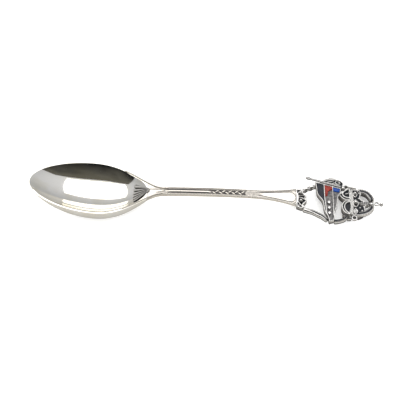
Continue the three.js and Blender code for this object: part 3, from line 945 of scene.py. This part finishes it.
def enamel_glass(name, deep, light, chipped):
    """Fired glass: deep where it is thick, with pale clouds, pinholes and a hand-stoned gloss."""
    material, tree, shader = node_material(name)
    nodes, links = tree.nodes, tree.links
    shader.inputs["IOR"].default_value = 1.52
    shader.inputs["Specular IOR Level"].default_value = 0.28
    clouds = cloud_noise(tree, 900, 5)
    tint = nodes.new("ShaderNodeValToRGB")
    tint.color_ramp.elements[0].position = 0.35
    tint.color_ramp.elements[0].color = (*deep, 1)
    tint.color_ramp.elements[1].position = chipped
    tint.color_ramp.elements[1].color = (*light, 1)
    links.new(clouds.outputs["Fac"], tint.inputs["Fac"])
    links.new(tint.outputs["Color"], shader.inputs["Base Color"])
    gloss = nodes.new("ShaderNodeMapRange")
    gloss.inputs["To Min"].default_value = 0.12
    gloss.inputs["To Max"].default_value = 0.38
    links.new(clouds.outputs["Fac"], gloss.inputs["Value"])
    links.new(gloss.outputs["Result"], shader.inputs["Roughness"])
    dent(tree, shader, clouds, 0.2, 0.00003)
    return material


navy_glass = enamel_glass("navy_glass", (0.003, 0.004, 0.007), (0.012, 0.016, 0.026), 0.75)
red_glass = enamel_glass("red_glass", (0.15, 0.01, 0.006), (0.27, 0.028, 0.014), 0.7)
blue_glass = enamel_glass("blue_glass", (0.006, 0.035, 0.2), (0.02, 0.09, 0.36), 0.7)


def enamel(name, near_edge, far_edge, material, replaced):
    """A fill of fired glass in one of the plate's sunk fields."""
    casting(name, near_edge, far_edge, flag_top - cell_depth - 0.04, flag_top - 0.2, 0.07, [], material,
            [replaced], columns=60, rows=30, border=0.12, dome=0.04)


enamel_gap = 0.66
navy_hoist = [
    under_pole(88.85, 0.75), (88.95, 3.8), (89.05, 2.2), (89.4, 1), (90.12, -0.1), (90.68, -1.1),
    (90.92, -2.3), (91.0, -3.7), (91.22, -4.9),
]
enamel("navy_enamel", navy_hoist, [under_pole(91.15, enamel_gap), (91.18, 0), (91.38, -2.5), (91.46, -4.9)],
       navy_glass, "enamel_navy")
enamel("red_enamel", [under_pole(91.35, enamel_gap), (91.4, 0.9)],
       [under_pole(93.75, enamel_gap), (93.7, 3.6), (92.5, 2.7), (92.15, 1.1)],
       red_glass, "enamel_red")
enamel("blue_enamel", [under_pole(93.95, enamel_gap), (93.95, 3.0)],
       [under_pole(96.2, enamel_gap), (95.9, 2.6)],
       blue_glass, "enamel_blue")

stud_x, stud_half_width, stud_half_length = 92.55, 0.5, 0.68
for number, y in enumerate((-1.6, -3.6, -5.6), 1):
    casting(f"band_stud_{number}", [(stud_x - stud_half_width, y), (stud_x, y + stud_half_length)],
            [(stud_x, y - stud_half_length), (stud_x + stud_half_width, y)],
            flag_top - cell_depth - 0.02, flag_top + 0.04, 0.14, [([(stud_x, y)], stud_half_width * 0.7)],
            finial_silver, [f"flag_stud_{number}"],
            columns=16, rows=16, border=0.1, darkness=0.1, dome=0.08)

pole_length = float(np.linalg.norm(pole_end - pole_start))
pole_direction = (pole_end - pole_start) / pole_length


def on_pole(distance):
    """A point on the pole's middle line, in plan."""
    return tuple(pole_start + pole_direction * distance)


def split_rod(t, turn):
    """A round rod with a fine line cut along its top."""
    split = top_groove(turn, 0.3)
    return 1 - 0.3 * split, min(1.1 * split, 1)


strand("pole_rod", [on_pole(1.7), on_pole(pole_length)], lambda t: pole_radius, pole_z - pole_radius,
       pole_z + pole_radius, split_rod, ["flag_pole"])
strand("pole_spear", [on_pole(0), on_pole(0.9), on_pole(1.85)],
       lambda t: 0.2 + 0.3 * math.sin(math.pi * (0.1 + 0.8 * t)), pole_z - 0.45, pole_z + 0.45,
       split_rod, ["pole_head"], steps=40)
pearl("pole_foot_knob", 97.15, 4.05, 3.4, 0.6, 1.1, ["pole_knob"])

# The scrollwork, in cast and blackened silver. Behind the pole a leaf curls into a scroll, below the
# flag a second scroll closes the frame, and two swags join them to the crown. All are soldered.
leaf_lines = [
    ([(90.2, 6.75), (92, 7.45), (93.8, 7.8), (95.4, 7.6)], 0.2),
    ([(91.6, 6.35), (93, 6.9), (94.4, 7.3)], 0.17),
    ([(93.2, 5.95), (94, 6.3), (94.7, 6.5)], 0.17),
    ([(96.4, 7.3), (95.3, 7.2), (94.95, 6.6), (95.4, 6.0), (96.2, 6.1), (96.3, 6.6), (95.8, 6.75)], 0.17),
]
casting("scroll_leaf", [(89.6, 6.1), (93, 5.05), (96.6, 4)],
        [(89.65, 6.4), (91, 7.6), (92.3, 8.2), (93.6, 8.45), (95.2, 8.2), (96.6, 7.5), (97.5, 6.4),
         (97.3, 5.3), (96.9, 4.2)],
        1.6, 2.95, 0.5, leaf_lines, finial_silver, ["leaf_scroll"], columns=130, rows=60)
strand("scroll_foot", [(93.9, -7.7), (95.4, -7.5), (97.0, -6.9), (97.7, -6.1), (97.4, -5.4), (96.6, -5.5)],
       lambda t: 0.66 - 0.22 * t, 0.8, 2.95, grooved, ["lower_scroll"], steps=160)
casting("swag_upper", [(98.6, 4.6), (97.6, 4), (96.8, 3), (95.95, 2.1), (96.2, 1.3), (96.9, 0.5), (97.7, 0)],
        [(99.05, 4.5), (99.35, 2), (99.45, 0.05)], 0.8, 3, 0.55,
        [([(98.5, 4), (97.35, 3.1), (97.0, 2.2), (97.4, 1.4), (98.3, 1), (99.1, 0.95)], 0.22),
         ([(97.9, 2.3), (98.7, 2.5)], 0.16)],
        finial_silver, ["upper_swag"], border=0.2, darkness=0.85)
casting("swag_lower", [(97.7, -0.15), (96.85, -1), (96.5, -2.4), (96.8, -3.9), (97.6, -4.95), (98.6, -5.45)],
        [(99.45, -0.1), (99.5, -2.5), (99.05, -5.25)], 0.8, 3, 0.55,
        [([(98.9, -0.6), (97.8, -1.2), (97.4, -2.5), (97.75, -3.9), (98.7, -4.9)], 0.2)],
        finial_silver, ["lower_swag"], border=0.2, darkness=0.85)

# The crown: a flat silver circlet behind a bright bar, set with a bead, a stone and a ring. Three
# arches, soldered to it, meet at a boss under a pierced orb and a ball. Bead rows edge them.
strand("crown_foot_bar", [(98.95, 4.5), (99.45, 2), (99.55, 0), (99.5, -2.5), (99.15, -5.3)], lambda t: 0.38,
       1.2, 3.3, lambda t, turn: (1, 0), ["crown_bar"])
circlet_lines = [
    ([(100.9, 3.4), (100.3, 2.5), (100.9, 1.5), (101.5, 2.5), (100.9, 3.4)], 0.2),
    ([(100.9, 0.4), (100.15, -0.9), (100.9, -2.2), (101.8, -0.9), (100.9, 0.4)], 0.2),
    ([(100.8, -2.9), (100.25, -3.8), (100.8, -4.7), (101.4, -3.8), (100.8, -2.9)], 0.2),
    ([(100.85, -3.8)], 0.42),
    ([(102.2, 2.9)], 0.3), ([(101.95, 1)], 0.3), ([(102.5, -0.8)], 0.32), ([(102.2, -2.5)], 0.3),
    ([(102.8, -3.6)], 0.34), ([(102.1, -4.6)], 0.3), ([(101.7, 3.7)], 0.26), ([(103.4, -2.1)], 0.3),
    ([(103.4, -0.3)], 0.3),
]
casting("circlet_band", [(99.5, 4.3), (99.9, 0), (99.5, -5.2)],
        [(101.9, 4.3), (102.9, 3.4), (102.5, 1.8), (102.6, 0.6), (103.5, 0.1), (104.2, -0.9), (104, -1.9),
         (103.7, -2.6), (103.8, -3.6), (103.1, -4.8), (101.9, -5.5)], 0, 2.6, 0.5,
        circlet_lines, finial_silver, ["circlet"], columns=120, rows=50, border=0.18)
row("circlet_beads", [(100.1, 4, 2.4), (100.25, 0, 2.4), (100.1, -4.9, 2.4)], (0.17, 0.17, 0.2), 0.42,
    finial_silver)
pearl("circlet_pearl", 100.9, 2.5, 3.0, 0.46, 1.15, ["circlet_bead"])
pearl("circlet_stone", 100.9, -0.9, 3.1, 0.58, 1.15, ["circlet_jewel"])


def cast_ring(name, x, y, z, radius, wire, replaced):
    """A cast ring lying flat, thicker than it is wide, dark on its inner side."""
    around, section = 64, 20
    points, oxide_and_painted_shade = [], []
    for k in range(around):
        turn = math.tau * k / around
        for c in range(section):
            lift = math.tau * c / section
            r = radius + wire * math.cos(lift)
            lifted = z + 1.25 * wire * math.sin(lift)
            points.append(at(x + r * math.cos(turn), y + r * math.sin(turn), lifted))
            oxide_and_painted_shade.append(0.9 * smooth_step(-math.cos(lift), 0.1, 0.8))
    faces = lattice(around, section)
    last = (around - 1) * section
    faces += [(last + c, last + (c + 1) % section, (c + 1) % section, c) for c in range(section)]
    made = piece(name, points, faces, finial_silver, replaced, True, oxide_and_painted_shade)
    finish_edges(made)


cast_ring("circlet_loop", 100.3, -6.2, 2.0, 0.72, 0.28, ["circlet_ring"])
strand("loop_link", [(98.0, -6.5), (99.4, -6.5)], lambda t: 0.38, 0.9, 2.6, grooved,
       ["ring_link"], steps=24)
strand("corner_leaf", [(97.7, 5.9), (99.4, 5.1), (101.5, 4.65)], lambda t: 0.4 + 0.12 * math.sin(math.pi * t),
       0.8, 2.9, rope, ["crown_corner"])


def railed(t, turn):
    """A flat band with a rail along each side."""
    split = top_groove(turn, 0.55)
    return 1 - 0.24 * split, min(1.1 * split, 1)


arches = [
    ("arch_upper", 0.3, 0.6,
     [(101.6, 3.7), (103.2, 3.7), (104.4, 3.2), (105.3, 2.3), (105.9, 1.1), (106, 0.1)]),
    ("arch_middle", 0.6, 0, [(102.0, -0.9), (103.5, -0.85), (105.3, -0.9)]),
    ("arch_lower", 1.0, -0.6,
     [(101.6, -4.85), (103.4, -4.5), (104.7, -3.75), (105.6, -2.8), (105.95, -1.7)]),
]
for node, foot_z, bead_offset, path in arches:
    strand(node + "_rails", path, lambda t: 0.84, foot_z, 2.9, railed, [node])
    route = smooth_path(path, 30)[2:-2]
    direction = headings(smooth_path(path, 30))[2:-2]
    beads = [
        (px - dy * bead_offset, py + dx * bead_offset, 2.55)
        for (px, py), (dx, dy) in zip(route, direction)
    ]
    row(node + "_pearls", beads, (0.25, 0.25, 0.25), 0.56, finial_silver)

pearl("crown_top_boss", 105.9, -0.88, 2.0, 0.72, 1.1, ["crown_boss"])
cast_ring("orb_loop", 107.52, -0.65, 2.0, 0.58, 0.25, ["orb_ring"])
pearl("orb_top_ball", 108.98, -0.65, 1.95, 0.57, 1.05, ["orb_ball"])
